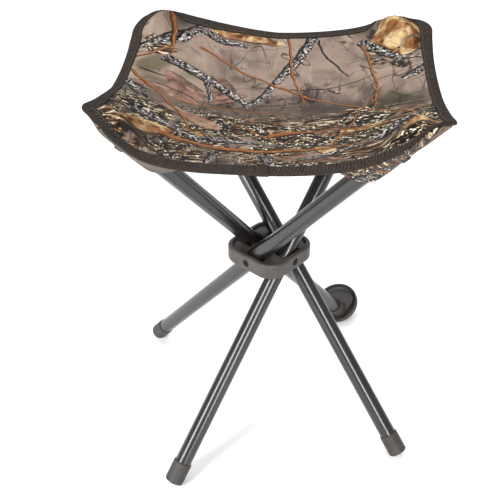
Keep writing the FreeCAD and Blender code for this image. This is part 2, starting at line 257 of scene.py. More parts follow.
def seat_panel(name, start, materials):
    """One panel of the cloth, a thin closed solid from the seat's centre to its edge."""
    edge_u, edge_v = edge_points(np.linspace(start, start + PANEL_TURN, PANEL_LINES + 1))
    rings = np.linspace(0, 1 - PANEL_EDGE / FLAT_HALF, PANEL_RINGS + 1)[1:]
    u = np.concatenate([[0.0], np.outer(edge_u, rings).ravel()])
    v = np.concatenate([[0.0], np.outer(edge_v, rings).ravel()])
    middle, normal = seat_point(u, v), seat_normal(u, v)
    count = len(u)
    points = np.concatenate([middle + normal * CLOTH / 2, middle - normal * CLOTH / 2])
    normals = np.concatenate([normal, -normal])
    uvs = np.tile(np.stack([u, v], -1) * FLAT_HALF, (2, 1))

    def at(line, ring):
        return 0 if ring == 0 else 1 + line * PANEL_RINGS + ring - 1

    top = []
    for line in range(PANEL_LINES):
        top.append((0, at(line, 1), at(line + 1, 1)))
        for ring in range(1, PANEL_RINGS):
            top.append((at(line, ring), at(line, ring + 1), at(line + 1, ring + 1), at(line + 1, ring)))
    under = [tuple(i + count for i in reversed(face)) for face in top]
    loop = [at(0, ring) for ring in range(PANEL_RINGS + 1)]
    loop += [at(line, PANEL_RINGS) for line in range(1, PANEL_LINES + 1)]
    loop += [at(PANEL_LINES, ring) for ring in range(PANEL_RINGS - 1, 0, -1)]
    rim = [(b, a, a + count, b + count) for a, b in zip(loop, loop[1:] + loop[:1])]
    kinds = [0] * len(top) + [1] * (len(under) + len(rim))
    return mesh_object(name, points, top + under + rim, materials, uvs, kinds, normals)


def hem_profile(width, back_width, bulk):
    """The folded tape's section as (distance in from the edge, height over the cloth)."""
    inner = CLOTH / 2 + 0.0001
    outer = inner + 0.0009 + bulk
    top = [(width, inner), (width + 0.0002, outer - 0.0004), (width - 0.0007, outer)]
    top += [(0.75 * width, outer + 0.0003), (0.5 * width, outer + 0.0004), (0.25 * width, outer + 0.0003)]
    top += [(0.0016, outer), (0.0005, outer * 0.72), (0.0001 - bulk, outer * 0.3)]
    scale = back_width / width
    under = [(d * scale if d > 0.0016 else d, -h) for d, h in reversed(top)]
    inside = [(0.0019, -inner), (0.0015, 0.0), (0.0019, inner)]
    return top + under + inside


def swept_hem(angles, profile):
    """Points of the tape's section carried along the seat's edge, line by line."""
    insets = np.array([depth for depth, _ in profile]) / FLAT_HALF
    height = np.array([h for _, h in profile])
    u, v = edge_points(np.asarray(angles)[:, None], insets[None, :])
    return seat_point(u, v) + seat_normal(u, v) * height[None, :, None]


def tube_faces(lines, ring, offset=0):
    """Faces of a closed sweep with its two ends filled."""
    faces = []
    for line in range(lines - 1):
        for i in range(ring):
            j = (i + 1) % ring
            a, b = offset + line * ring, offset + (line + 1) * ring
            faces.append((a + i, a + j, b + j, b + i))
    faces.append(tuple(offset + i for i in reversed(range(ring))))
    faces.append(tuple(offset + (lines - 1) * ring + i for i in range(ring)))
    return faces


def length_along(angles):
    """Distance along the flat square's edge at each angle."""
    u, v = edge_points(angles)
    steps = np.hypot(np.diff(u), np.diff(v)) * FLAT_HALF
    return np.concatenate([[0.0], np.cumsum(steps)])


def stitch(centre, along, up):
    """A single raised stitch: a short round-ended bead of thread."""
    side = np.cross(up, along)
    points, ring = [], 6
    for share, swell in ((-1, 0.25), (-0.7, 0.9), (0, 1.0), (0.7, 0.9), (1, 0.25)):
        for k in range(ring):
            angle = 2 * math.pi * k / ring
            offset = side * math.cos(angle) + up * math.sin(angle)
            swollen = offset * swell * STITCH_HALF_WIDTH
            points.append(centre + along * share * STITCH_HALF_LENGTH + swollen)
    return points, tube_faces(5, ring)


def hem_piece(name, start, materials, join_at=None):
    """The binding over one panel's outer edge, with its two rows of stitches."""
    angles = np.linspace(start, start + PANEL_TURN, HEM_LINES + 1)
    profile = hem_profile(HEM_WIDTH, HEM_BACK_WIDTH, 0.0)
    points = swept_hem(angles, profile)
    ring = len(profile)
    along = length_along(angles)
    across = np.linspace(0, 2 * HEM_WIDTH, ring)
    uvs = np.stack(np.broadcast_arrays(along[:, None], across[None, :]), -1).reshape(-1, 2)
    faces = tube_faces(len(angles), ring)
    kinds = [0] * len(faces)
    points = list(points.reshape(-1, 3))
    uvs = list(uvs)
    if join_at is not None:
        lap = np.linspace(join_at, join_at + JOIN_SPAN, JOIN_LINES)
        lap_profile = hem_profile(HEM_WIDTH + JOIN_MARGIN, HEM_BACK_WIDTH + JOIN_MARGIN, JOIN_BULK)
        lap_points = swept_hem(lap, lap_profile)
        lap_faces = tube_faces(len(lap), ring, len(points))
        faces += lap_faces
        kinds += [0] * len(lap_faces)
        points += list(lap_points.reshape(-1, 3))
        lap_along = length_along(lap) + 0.4
        lap_uv = np.stack(np.broadcast_arrays(lap_along[:, None], across[None, :]), -1)
        uvs += list(lap_uv.reshape(-1, 2))
    places = np.arange(STITCH_PITCH / 2, along[-1] - STITCH_PITCH / 2, STITCH_PITCH)
    stitch_angles = np.interp(places, along, angles)
    for width, height in ((HEM_WIDTH, STITCH_HEIGHT), (HEM_BACK_WIDTH, -STITCH_HEIGHT)):
        depth = width - STITCH_INSET
        row = swept_hem(stitch_angles, [(depth, height)])
        ahead = swept_hem(stitch_angles + STITCH_STEP, [(depth, height)])
        ups = seat_normal(*edge_points(stitch_angles, depth / FLAT_HALF))
        for centre, next_point, up in zip(row[:, 0], ahead[:, 0], ups):
            heading = next_point - centre
            heading = heading / np.linalg.norm(heading)
            made, made_faces = stitch(centre, heading, up)
            faces += [tuple(i + len(points) for i in face) for face in made_faces]
            kinds += [1] * len(made_faces)
            points += made
            uvs += [(0.0, 0.0)] * len(made)
    return mesh_object(name, points, faces, materials, uvs, kinds)


def leg_point(face, along, outward):
    """A point on a tube's centre line, moved off it towards the leg's lower, outer side."""
    out = along * math.sin(LEG_TILT) + outward * math.cos(LEG_TILT)
    z = PIVOT_Z + along * math.cos(LEG_TILT) - outward * math.sin(LEG_TILT)
    x, y = rotated(LEG_OFFSET, out, face)
    return np.array([x + AXIS.x, y + AXIS.y, z])


def corner_pocket(name, leg, materials):
    """The cloth patch sewn under one corner, drawn tight round the end of the tube."""
    face = LEG_FACES[leg]
    corner_u, corner_v = CORNER_SIGNS[leg]
    corner_angle = math.degrees(math.atan2(corner_v, corner_u))
    outer_end = TUBE_END + POCKET_PAST_END
    rows, uvs = [], []
    for share in np.linspace(0, 1, POCKET_ROWS + 1):
        # Both ends of this row lie on the hem, this far round from the corner's tip.
        spread = POCKET_TIP + (POCKET_SPREAD - POCKET_TIP) * share
        ends_at = corner_angle + np.array([-spread, spread]) * corner_u * corner_v
        ends_u, ends_v = edge_points(ends_at, 0.02 + 0.04 * share)
        ends = seat_point(ends_u, ends_v, False) - seat_normal(ends_u, ends_v) * POCKET_BELOW_SEAT
        along = outer_end - (outer_end - POCKET_MOUTH) * share ** 0.85
        under = leg_point(face, along, POCKET_UNDER)
        c = np.linspace(-1, 1, POCKET_COLUMNS + 1)
        bend = 0.55 - 0.15 * share
        tent = 1 - (np.sqrt(c * c + bend * bend) - bend) / (math.sqrt(1 + bend * bend) - bend)
        chord = ends[0] + (ends[1] - ends[0]) * (c[:, None] + 1) / 2
        closing = math.sqrt(min(1.0, share / POCKET_CAP))
        drop = (under - (ends[0] + ends[1]) / 2) * closing
        ripple = 0.0012 * np.sin(9 * c + 2 * share) * np.sin(math.pi * share) * (1 - c * c)
        rows.append(chord + drop * (tent + ripple / max(np.linalg.norm(drop), 0.01))[:, None])
        half = math.radians(spread) * FLAT_HALF
        uvs += [(0.07 + x * half, -0.16 + 0.078 * share) for x in c]
    middle = np.array(rows)
    slope_a = np.gradient(middle, axis=0)
    slope_b = np.gradient(middle, axis=1)
    normal = np.cross(slope_b, slope_a)
    normal /= np.maximum(np.linalg.norm(normal, axis=-1, keepdims=True), 1e-9)
    outer = (middle + normal * CLOTH / 2).reshape(-1, 3)
    inner = (middle - normal * CLOTH / 2).reshape(-1, 3)
    width, count = POCKET_COLUMNS + 1, len(outer)

    def at(row, column):
        return row * width + column

    front = [
        (at(r, c), at(r, c + 1), at(r + 1, c + 1), at(r + 1, c))
        for r in range(POCKET_ROWS)
        for c in range(POCKET_COLUMNS)
    ]
    back = [tuple(i + count for i in reversed(face)) for face in front]
    loop = [at(0, c) for c in range(width)]
    loop += [at(r, POCKET_COLUMNS) for r in range(1, POCKET_ROWS + 1)]
    loop += [at(POCKET_ROWS, c) for c in range(POCKET_COLUMNS - 1, -1, -1)]
    loop += [at(r, 0) for r in range(POCKET_ROWS - 1, 0, -1)]
    rim = [(b, a, a + count, b + count) for a, b in zip(loop, loop[1:] + loop[:1])]
    kinds = [0] * len(front) + [1] * len(back) + [0] * len(rim)
    points = np.concatenate([outer, inner])
    return mesh_object(name, points, front + back + rim, materials, uvs + uvs, kinds)


# ---- Node materials ---------------------------------------------------------


class Shader:
    """One node material, with short names for the nodes it is made of."""

    def __init__(self, name):
        self.material = bpy.data.materials.new(name)
        self.material.use_nodes = True
        self.tree = self.material.node_tree
        self.surface = self.tree.nodes["Principled BSDF"]

    def feed(self, socket, value):
        if isinstance(value, bpy.types.NodeSocket):
            self.tree.links.new(value, socket)
        else:
            socket.default_value = value

    def add(self, kind, inputs, output=0, **settings):
        made = self.tree.nodes.new("ShaderNode" + kind)
        for name, value in settings.items():
            setattr(made, name, value)
        for key, value in inputs.items():
            self.feed(made.inputs[key], value)
        return made.outputs[output]

    def math(self, operation, a, b=0.0, c=0.0, clamp=False):
        inputs = {0: a, 1: b, 2: c}
        return self.add("Math", inputs, operation=operation, use_clamp=clamp)

    def vector(self, operation, a, b=(0, 0, 0), scale=1.0, output=0):
        inputs = {0: a, 3: scale} if operation == "SCALE" else {0: a, 1: b}
        return self.add("VectorMath", inputs, output, operation=operation)

    def mix(self, factor, a, b, blend="MIX"):
        inputs = {0: factor, 6: a, 7: b}
        return self.add("Mix", inputs, 2, data_type="RGBA", blend_type=blend)

    def mix_vector(self, factor, a, b):
        return self.add("Mix", {0: factor, 4: a, 5: b}, 1, data_type="VECTOR")

    def step(self, value, low, high):
        """A smooth step from 0 at low to 1 at high, where low may be the larger."""
        inputs = {0: value, 1: low, 2: high}
        return self.add("MapRange", inputs, interpolation_type="SMOOTHSTEP")

    def noise(self, at, scale, detail=3.0, roughness=0.5, distortion=0.0, output=0):
        inputs = {"Vector": at, "Scale": scale, "Detail": detail}
        inputs.update({"Roughness": roughness, "Distortion": distortion})
        return self.add("TexNoise", inputs, output)

    def cells(self, at, scale, feature="F1", output=0):
        return self.add("TexVoronoi", {"Vector": at, "Scale": scale}, output, feature=feature)

    def wave(self, at, per_metre, distortion=0.0, detail=0.0, direction="X"):
        inputs = {"Vector": at, "Scale": per_metre * math.pi / 10}
        inputs.update({"Distortion": distortion, "Detail": detail})
        return self.add("TexWave", inputs, 1, bands_direction=direction)

    def ramp(self, factor, stops, interpolation="LINEAR"):
        made = self.tree.nodes.new("ShaderNodeValToRGB")
        made.color_ramp.interpolation = interpolation
        elements = made.color_ramp.elements
        while len(elements) < len(stops):
            elements.new(0.5)
        for element, (place, colour) in zip(elements, stops):
            element.position = place
            element.color = colour
        self.feed(made.inputs[0], factor)
        return made.outputs[0]

    def combine(self, x, y, z=0.0):
        return self.add("CombineXYZ", {0: x, 1: y, 2: z})

    def part(self, vector, axis):
        return self.add("SeparateXYZ", {0: vector}, axis)

    def bump(self, height, strength, distance, normal=None):
        inputs = {"Height": height, "Strength": strength, "Distance": distance}
        if normal is not None:
            inputs["Normal"] = normal
        return self.add("Bump", inputs)

    def finish(self, **inputs):
        """Feeds the surface shader's sockets, with underscores for spaces in their names."""
        for name, value in inputs.items():
            self.feed(self.surface.inputs[name.replace("_", " ")], value)
        return self.material


def rgb(code, alpha=1.0):
    """A display colour code as the linear colour that a shader takes."""
    channels = [int(code[i:i + 2], 16) / 255 for i in (0, 2, 4)]
    linear = [c / 12.92 if c <= 0.04045 else ((c + 0.055) / 1.055) ** 2.4 for c in channels]
    return (*linear, alpha)


def stroke_group():
    """A node group that measures a point against one bent, tapered stroke of the print."""
    group = bpy.data.node_groups.new("Stroke", "ShaderNodeTree")
    sockets = [("Point", "Vector"), ("Start", "Vector"), ("Along", "Vector"), ("Across", "Vector")]
    sockets += [("Length", "Float"), ("Width", "Float"), ("Bend", "Float"), ("Leaf", "Float")]
    for name, kind in sockets:
        group.interface.new_socket(name, in_out="INPUT", socket_type="NodeSocket" + kind)
    for name, kind in (("Mask", "Float"), ("Where", "Vector")):
        group.interface.new_socket(name, in_out="OUTPUT", socket_type="NodeSocket" + kind)
    shader = Shader.__new__(Shader)
    shader.tree = group
    entry = group.nodes.new("NodeGroupInput").outputs
    leave = group.nodes.new("NodeGroupOutput").inputs
    offset = shader.vector("SUBTRACT", entry["Point"], entry["Start"])
    along = shader.vector("DOT_PRODUCT", offset, entry["Along"], output=1)
    share = shader.math("DIVIDE", along, entry["Length"])
    held = shader.math("ADD", share, 0.0, clamp=True)
    arch = shader.math("MULTIPLY", held, shader.math("SUBTRACT", 1.0, held))
    arch = shader.math("MULTIPLY", arch, 4.0)
    across = shader.vector("DOT_PRODUCT", offset, entry["Across"], output=1)
    across = shader.math("SUBTRACT", across, shader.math("MULTIPLY", entry["Bend"], arch))
    taper = shader.math("MULTIPLY_ADD", held, -0.5, 1.0)
    leafy = shader.math("POWER", arch, 0.75)
    swell = shader.math("SUBTRACT", leafy, taper)
    swell = shader.math("MULTIPLY_ADD", swell, entry["Leaf"], taper)
    place = shader.math("DIVIDE", across, shader.math("MULTIPLY", entry["Width"], swell))
    near = shader.step(shader.math("ABSOLUTE", place), 1.5, 1.3)
    ends = shader.math("MULTIPLY", shader.step(share, -0.02, 0.02), shader.step(share, 1.02, 0.96))
    shader.feed(leave["Mask"], shader.math("MULTIPLY", near, ends))
    shader.feed(leave["Where"], shader.combine(place, along, share))
    return group


STROKES = stroke_group()

# The print's strokes over the flat seat, in shares of its half width: start u, start v,
# end u, end v, then the half width and the bend in millimetres.
BARK = [
    (-0.74, 0.50, -0.12, 0.04, 6.6, 12.0),
    (-0.42, 0.34, -0.36, 0.04, 4.0, 1.0),
    (0.26, 0.98, -0.14, 0.06, 6.4, 2.0),
    (0.55, 0.84, 0.96, 0.50, 5.6, -9.0),
    (-0.52, 0.90, -0.98, 0.50, 7.0, 3.0),
    (-0.50, 0.88, -0.20, 0.78, 6.0, -3.0),
    (0.02, -0.70, 0.05, -1.05, 6.2, 1.0),
    (0.16, -0.78, 0.60, -0.58, 5.4, -2.0),
    (0.50, -0.62, 0.88, -0.24, 6.5, 4.0),
    (-0.26, -0.70, -0.29, -1.05, 4.6, 0.0),
    (-0.80, -0.28, -0.34, -0.56, 7.5, 5.0),
    (0.98, 0.40, 0.78, 0.28, 7.0, 0.0),
    (-0.98, 0.20, -0.78, -0.06, 7.5, 2.0),
    (-0.36, -0.46, 0.10, -0.50, 6.0, -3.0),
]
TWIGS = [
    (-0.54, 0.72, 0.86, -0.26, 1.9, 2.0),
    (0.07, 0.98, 0.22, 0.06, 1.7, -5.0),
    (0.56, 0.80, 0.62, -0.08, 1.9, 5.0),
    (0.34, -0.56, 0.66, 0.26, 1.4, -2.0),
    (-0.78, 1.00, -0.68, 0.54, 2.8, 2.0),
    (-0.98, 0.38, -0.62, 0.64, 1.8, 2.0),
    (-0.93, 0.28, -0.40, -0.44, 2.2, 7.0),
    (-0.62, -0.52, 0.60, -0.60, 4.6, -10.0),
    (0.00, -0.34, 0.64, -0.32, 3.6, 3.0),
    (-0.62, 0.02, 0.18, 0.02, 1.0, -5.0),
    (0.12, -0.44, -0.30, -0.12, 1.2, 2.0),
]
SHADOW_TWIGS = [
    (0.26, 0.90, 0.46, 0.40, 1.5, -3.0),
    (0.10, 0.30, 0.62, 0.42, 1.0, -9.0),
    (-0.88, 0.30, -0.30, 0.02, 1.6, 14.0),
    (-0.30, 0.30, -0.34, 0.02, 1.5, 2.0),
    (0.70, 0.72, 0.98, 0.60, 1.0, -4.0),
    (-0.96, 0.16, -0.74, -0.10, 3.4, 2.0),
    (0.20, -0.14, 0.90, -0.08, 1.6, 4.0),
    (-0.20, -0.16, -0.62, -0.20, 2.2, -3.0),
]
DRY_LEAVES = [
    (-0.36, 0.06, -0.72, 0.36, 12.0, 4.0),
    (-0.34, 0.04, -0.36, 0.40, 13.0, -3.0),
    (-0.40, 0.02, -0.16, 0.22, 9.0, 3.0),
    (-0.42, 0.00, -0.88, 0.12, 9.0, -4.0),
    (-0.66, -0.12, -0.26, -0.30, 8.0, 2.0),
    (0.06, -0.70, 0.44, -0.84, 11.0, -2.0),
]
GOLD_LEAVES = [
    (0.60, 0.66, 1.02, 0.96, 23.0, 2.0),
    (0.72, 0.58, 0.96, 0.72, 8.0, -2.0),
    (-0.46, 0.90, 0.06, 0.84, 8.0, 1.0),
    (0.40, -0.36, 0.68, -0.30, 7.0, 1.0),
    (-0.94, -0.62, -0.50, -0.46, 13.0, 2.0),
    (-0.20, -0.52, -0.50, -0.34, 6.0, 2.0),
    (0.70, -0.80, 0.98, -0.50, 9.0, -2.0),
    (0.26, -0.56, 0.36, -0.72, 8.0, 1.0),
]


def drawn(shader, at, strokes, leaf):
    """One layer of strokes: how near a point is to the topmost, and where across and along it."""
    mask, where = 0.0, (9.0, 0.0, 0.0)
    for u0, v0, u1, v1, half_width, bend in strokes:
        start = Vector((u0, v0, 0)) * FLAT_HALF
        run = Vector((u1, v1, 0)) * FLAT_HALF - start
        along = run.normalized()
        node = shader.tree.nodes.new("ShaderNodeGroup")
        node.node_tree = STROKES
        values = {"Point": at, "Start": start, "Along": along}
        values.update({"Across": (-along.y, along.x, 0), "Length": run.length})
        values.update({"Width": half_width / 1000, "Bend": bend / 1000, "Leaf": leaf})
        for name, value in values.items():
            shader.feed(node.inputs[name], value)
        near = node.outputs["Mask"]
        where = shader.mix_vector(near, where, node.outputs["Where"])
        mask = shader.math("MAXIMUM", mask, near)
    return mask, where


def near_leg(strokes, leg):
    """The strokes that come near the quarter of the cloth which one leg's panels cover."""
    sign_u, sign_v = CORNER_SIGNS[leg]
    near = []
    for u0, v0, u1, v1, half_width, bend in strokes:
        margin = (1.5 * half_width + abs(bend) + 18) / 1000 / FLAT_HALF
        if max(u0 * sign_u, u1 * sign_u) > -margin and max(v0 * sign_v, v1 * sign_v) > -margin:
            near.append((u0, v0, u1, v1, half_width, bend))
    return near


def laid_over(shader, under, mask, where, colour, shade):
    """Lays one layer's colour on the print, with a dark line along its lower side."""
    across = shader.part(where, 0)
    inner = shader.math("MULTIPLY", shader.step(shader.math("ABSOLUTE", across), 1.05, 0.9), mask)
    below = shader.math("MULTIPLY", shader.step(across, -0.2, -1.0), mask)
    dark = shader.mix(shader.math("MULTIPLY", below, shade), under, rgb("1a1512"))
    return shader.mix(inner, dark, colour)


def bark_colour(shader, where):
    """Black and pale blotches, shaded round like a branch."""
    across, along = shader.part(where, 0), shader.part(where, 1)
    stretched = shader.combine(shader.math("MULTIPLY", across, 0.006), shader.math("MULTIPLY", along, 0.8))
    blotch = shader.noise(stretched, 260, 4, 0.7, 0.3)
    colour = shader.ramp(blotch, [
        (0.46, rgb("08070b")), (0.50, rgb("1d1b26")), (0.53, rgb("a39c97")), (0.64, rgb("f0e9e0"))])
    lit = shader.ramp(shader.math("MULTIPLY_ADD", across, 0.5, 0.5), [
        (0.0, rgb("2b272e")), (0.2, rgb("b5b1b2")), (0.75, rgb("ffffff")), (1.0, rgb("858080"))])
    return shader.mix(1.0, colour, lit, "MULTIPLY")


def twig_colour(shader, where):
    """Rusty wood with pale grain."""
    across, along = shader.part(where, 0), shader.part(where, 1)
    grain = shader.noise(shader.combine(across, shader.math("MULTIPLY", along, 60)), 2.2, 3, 0.6)
    colour = shader.ramp(grain, [
        (0.3, rgb("5e3319")), (0.5, rgb("93582d")), (0.62, rgb("b4824c")), (0.8, rgb("d6b27b"))])
    lit = shader.ramp(shader.math("MULTIPLY_ADD", across, 0.5, 0.5), [
        (0.0, rgb("5a4a42")), (0.35, rgb("d8d0c8")), (0.7, rgb("ffffff")), (1.0, rgb("a39a92"))])
    return shader.mix(1.0, colour, lit, "MULTIPLY")


def leaf_colour(shader, where, at, tones):
    """A dry leaf's mottled tones, with a rib and slanting veins."""
    across, along = shader.part(where, 0), shader.part(where, 1)
    tone = shader.noise(at, 55, 5, 0.6, 0.8)
    colour = shader.ramp(tone, tones)
    rib = shader.step(shader.math("ABSOLUTE", across), 0.09, 0.03)
    slant = shader.math("MULTIPLY_ADD", shader.math("ABSOLUTE", across), -0.010, along)
    veins = shader.step(shader.wave(shader.combine(slant, 0.0), 140), 0.90, 0.99)
    lines = shader.math("MAXIMUM", rib, shader.math("MULTIPLY", veins, 0.6))
    return shader.mix(shader.math("MULTIPLY", lines, 0.5), colour, rgb("2c1d14"))


def grass_lines(shader, at, angle, scale, seed):
    """Thin curved lines, like dry stems, that come and go in clumps."""
    turned = shader.add("Mapping", {"Vector": at, "Rotation": (0, 0, math.radians(angle))})
    moved = shader.vector("ADD", turned, (seed, 0, seed * 0.3))
    squeezed = shader.vector("MULTIPLY", moved, (1, 0.22, 1))
    height = shader.noise(squeezed, scale, 2, 0.5, 0.3)
    contour = shader.math("ABSOLUTE", shader.math("SUBTRACT", height, 0.5))
    line = shader.step(contour, 0.010, 0.002)
    clump = shader.step(shader.noise(moved, 9, 2), 0.42, 0.58)
    return shader.math("MULTIPLY", line, clump)


def weave(shader, at, threads_per_metre):
    """The height of a plain weave of warp and weft."""
    warp = shader.wave(at, threads_per_metre, direction="X")
    weft = shader.wave(at, threads_per_metre, direction="Y")
    return shader.math("MULTIPLY", warp, weft)


def camo_cloth(leg):
    """Printed polyester cloth: bark, twigs and leaves over a soft taupe ground."""
    shader = Shader(f"camo_cloth_{leg}")
    flat = shader.add("UVMap", {}, uv_map="Cloth")
    drift = shader.noise(flat, 16, 3, 0.55, output=1)
    drift = shader.vector("SUBTRACT", drift, (0.5, 0.5, 0.5))
    at = shader.vector("ADD", flat, shader.vector("SCALE", drift, scale=0.020))
    fray = shader.vector("SUBTRACT", shader.noise(flat, 190, 3, 0.6, output=1), (0.5, 0.5, 0.5))
    rough_at = shader.vector("ADD", at, shader.vector("SCALE", fray, scale=0.0042))

    back = shader.part(flat, 1)
    ground = shader.ramp(shader.noise(flat, 9, 3, 0.55, 0.5), [
        (0.30, rgb("2a2420")), (0.40, rgb("62544b")), (0.48, rgb("877468")), (0.68, rgb("9c8979"))])
    streak = shader.noise(shader.vector("MULTIPLY", flat, (1, 0.3, 1)), 60, 3, 0.6)
    streak = shader.math("MULTIPLY", shader.step(streak, 0.5, 0.68), 0.4)
    ground = shader.mix(streak, ground, rgb("a89a8b"))
    moss = shader.step(shader.noise(flat, 14, 2, 0.5, 0.8), 0.56, 0.66)
    ground = shader.mix(shader.math("MULTIPLY", moss, 0.75), ground, rgb("4a4528"))
    # Painted shade of the bowl, partly the print's own dark zone: the middle of the seat, where it hangs
    # lowest, is drawn darker.
    near_middle = shader.math("ABSOLUTE", shader.math("SUBTRACT", back, -0.004))
    bowl_shade_and_print = shader.math("MULTIPLY", shader.step(near_middle, 0.034, 0.006), 0.62)
    ground = shader.mix(bowl_shade_and_print, ground, rgb("27211d"))

    litter_at = shader.vector("MULTIPLY", at, (1, 1.9, 1))
    flake = shader.cells(litter_at, 300, output=1)
    flakes = shader.ramp(shader.part(flake, 0), [
        (0.0, rgb("090807")), (0.34, rgb("1c1612")), (0.46, rgb("54382a")), (0.56, rgb("7d6a54")),
        (0.68, rgb("c4b08c")), (0.86, rgb("eee4ce"))], "CONSTANT")
    gap = shader.step(shader.cells(litter_at, 300, "DISTANCE_TO_EDGE"), 0.05, 0.16)
    flakes = shader.mix(gap, rgb("0b0908"), flakes)
    strands_at = shader.add("Mapping", {"Vector": at, "Rotation": (0, 0, 0.12), "Scale": (0.16, 1, 1)})
    strands = shader.ramp(shader.noise(strands_at, 330, 3, 0.7, 0.5), [
        (0.40, rgb("0a0807")), (0.48, rgb("241a14")), (0.54, rgb("5e3a22")), (0.59, rgb("8b7558")),
        (0.68, rgb("e0d5bd"))])
    mixed = shader.step(shader.noise(at, 21, 2), 0.50, 0.56)
    litter = shader.mix(mixed, flakes, strands)
    front = shader.step(back, 0.000, -0.030)
    patch = shader.step(shader.noise(flat, 15, 3, 0.6), 0.36, 0.44)
    stray = shader.step(shader.noise(flat, 17, 3, 0.6), 0.58, 0.64)
    patch = shader.math("MAXIMUM", shader.math("MULTIPLY", patch, front), stray)
    colour = shader.mix(patch, ground, litter)

    for angle, scale, seed in ((20, 34, 3.1), (-35, 28, 7.7), (75, 30, 12.9), (5, 22, 21.3)):
        line = shader.math("MULTIPLY", grass_lines(shader, at, angle, scale, seed), 0.8)
        colour = shader.mix(line, colour, rgb("1d1713"))

    mask, where = drawn(shader, at, near_leg(SHADOW_TWIGS, leg), 0.0)
    colour = laid_over(shader, colour, mask, where, rgb("1f1a19"), 0.4)
    mask, where = drawn(shader, rough_at, near_leg(DRY_LEAVES, leg), 1.0)
    dry = leaf_colour(shader, where, flat, [
        (0.34, rgb("4c372e")), (0.46, rgb("745648")), (0.56, rgb("8d6c5b")), (0.70, rgb("a88a74"))])
    colour = laid_over(shader, colour, mask, where, dry, 0.7)
    mask, where = drawn(shader, rough_at, near_leg(GOLD_LEAVES, leg), 1.0)
    gold = leaf_colour(shader, where, flat, [
        (0.36, rgb("33200f")), (0.44, rgb("7c5029")), (0.51, rgb("94704a")), (0.60, rgb("c8ae83"))])
    colour = laid_over(shader, colour, mask, where, gold, 0.7)
    mask, where = drawn(shader, rough_at, near_leg(BARK, leg), 0.0)
    colour = laid_over(shader, colour, mask, where, bark_colour(shader, where), 1.0)
    mask, where = drawn(shader, at, near_leg(TWIGS, leg), 0.0)
    colour = laid_over(shader, colour, mask, where, twig_colour(shader, where), 1.0)

    fibre = shader.noise(flat, 1500, 2, 0.6)
    colour = shader.mix(shader.math("MULTIPLY", fibre, 0.16), colour, rgb("14100e"))
    return woven_finish(shader, flat, colour)


def cloth_reverse():
    """The cloth's unprinted back, with the ground of the print showing through a little."""
    shader = Shader("cloth_reverse")
    flat = shader.add("UVMap", {}, uv_map="Cloth")
    ghost = shader.step(shader.noise(flat, 24, 3, 0.6), 0.42, 0.60)
    colour = shader.mix(ghost, rgb("453d36"), rgb("5b5148"))
    fibre = shader.noise(flat, 1500, 2, 0.6)
    colour = shader.mix(shader.math("MULTIPLY", fibre, 0.2), colour, rgb("1d1916"))
    return woven_finish(shader, flat, colour)


def woven_finish(shader, flat, colour):
    """The weave, the fine rumple and the soft sheen of polyester cloth."""
    threads = weave(shader, flat, 1500)
    bump = shader.bump(threads, 0.25, 0.00025)
    rumple = shader.noise(flat, 75, 3, 0.6)
    bump = shader.bump(rumple, 0.22, 0.0016, bump)
    sheen = shader.math("MULTIPLY_ADD", rumple, 0.22, 0.50)
    return shader.finish(Base_Color=colour, Roughness=sheen, Normal=bump, Specular_IOR_Level=0.12)


def binding_tape():
    """Ribbed polyester webbing, slightly fuzzy, with a painted highlight on the crests of its ribs."""
    shader = Shader("binding_tape")
    flat = shader.add("UVMap", {}, uv_map="Cloth")
    ribs = shader.wave(flat, 620, direction="DIAGONAL")
    threads = shader.wave(flat, 1500, 0.4, 1, direction="Y")
    tone = shader.noise(flat, 260, 3, 0.6)
    colour = shader.ramp(tone, [(0.35, rgb("181412")), (0.6, rgb("27211d")), (0.8, rgb("3c342f"))])
    # Painted highlight: the rib crests, which the bump raises, are drawn lighter.
    colour = shader.mix(shader.math("MULTIPLY", ribs, 0.35), colour, rgb("544b44"))
    height = shader.math("MULTIPLY_ADD", threads, 0.35, ribs)
    bump = shader.bump(height, 0.7, 0.0004)
    return shader.finish(Base_Color=colour, Roughness=0.80, Normal=bump, Specular_IOR_Level=0.10)


def sewing_thread():
    """Twisted thread, a little lighter than the tape."""
    shader = Shader("sewing_thread")
    place = shader.add("TexCoord", {}, 3)
    twist = shader.wave(place, 2600, 0.5, 1)
    # Painted shade and highlight along the twist: darker in its grooves, lighter on its crests.
    colour = shader.mix(twist, rgb("2a2521"), rgb("5c534a"))
    return shader.finish(Base_Color=colour, Roughness=0.6, Normal=shader.bump(twist, 0.4, 0.0001))


def moulded(name, dark, light, roughness, grain, scuff):
    """Moulded plastic or rubber with a fine grain, a little dust and rubbed high spots."""
    shader = Shader(name)
    place = shader.add("TexCoord", {}, 3)
    cloud = shader.noise(place, 38, 4, 0.6)
    pores = shader.noise(place, 1700, 2, 0.6)
    colour = shader.mix(shader.step(cloud, 0.35, 0.7), rgb(dark), rgb(light))
    scratch = shader.noise(shader.vector("MULTIPLY", place, (1, 1, 0.12)), 620, 2, 0.7, 1.2)
    scratch = shader.math("MULTIPLY", shader.step(scratch, 0.64, 0.72), scuff)
    colour = shader.mix(scratch, colour, rgb("8a847e"))
    finish = shader.math("MULTIPLY_ADD", cloud, 0.16, roughness - 0.08)
    bump = shader.bump(pores, grain, 0.0002)
    return shader.finish(Base_Color=colour, Roughness=finish, Normal=bump)


def tube_paint():
    """Dark bronze powder paint under a smooth sheen, with a faint orange-peel surface."""
    shader = Shader("tube_paint")
    place = shader.add("TexCoord", {}, 3)
    peel = shader.noise(place, 160, 2, 0.5)
    cloud = shader.noise(place, 22, 3, 0.6)
    colour = shader.mix(shader.step(cloud, 0.3, 0.75), rgb("141211"), rgb("1d1a18"))
    speck = shader.step(shader.cells(place, 1300), 0.10, 0.04)
    colour = shader.mix(shader.math("MULTIPLY", speck, 0.25), colour, rgb("57504a"))
    gloss = shader.math("MULTIPLY_ADD", cloud, 0.06, 0.21)
    bump = shader.bump(peel, 0.01, 0.0004)
    return shader.finish(Base_Color=colour, Roughness=gloss, Normal=bump, Specular_IOR_Level=0.75)


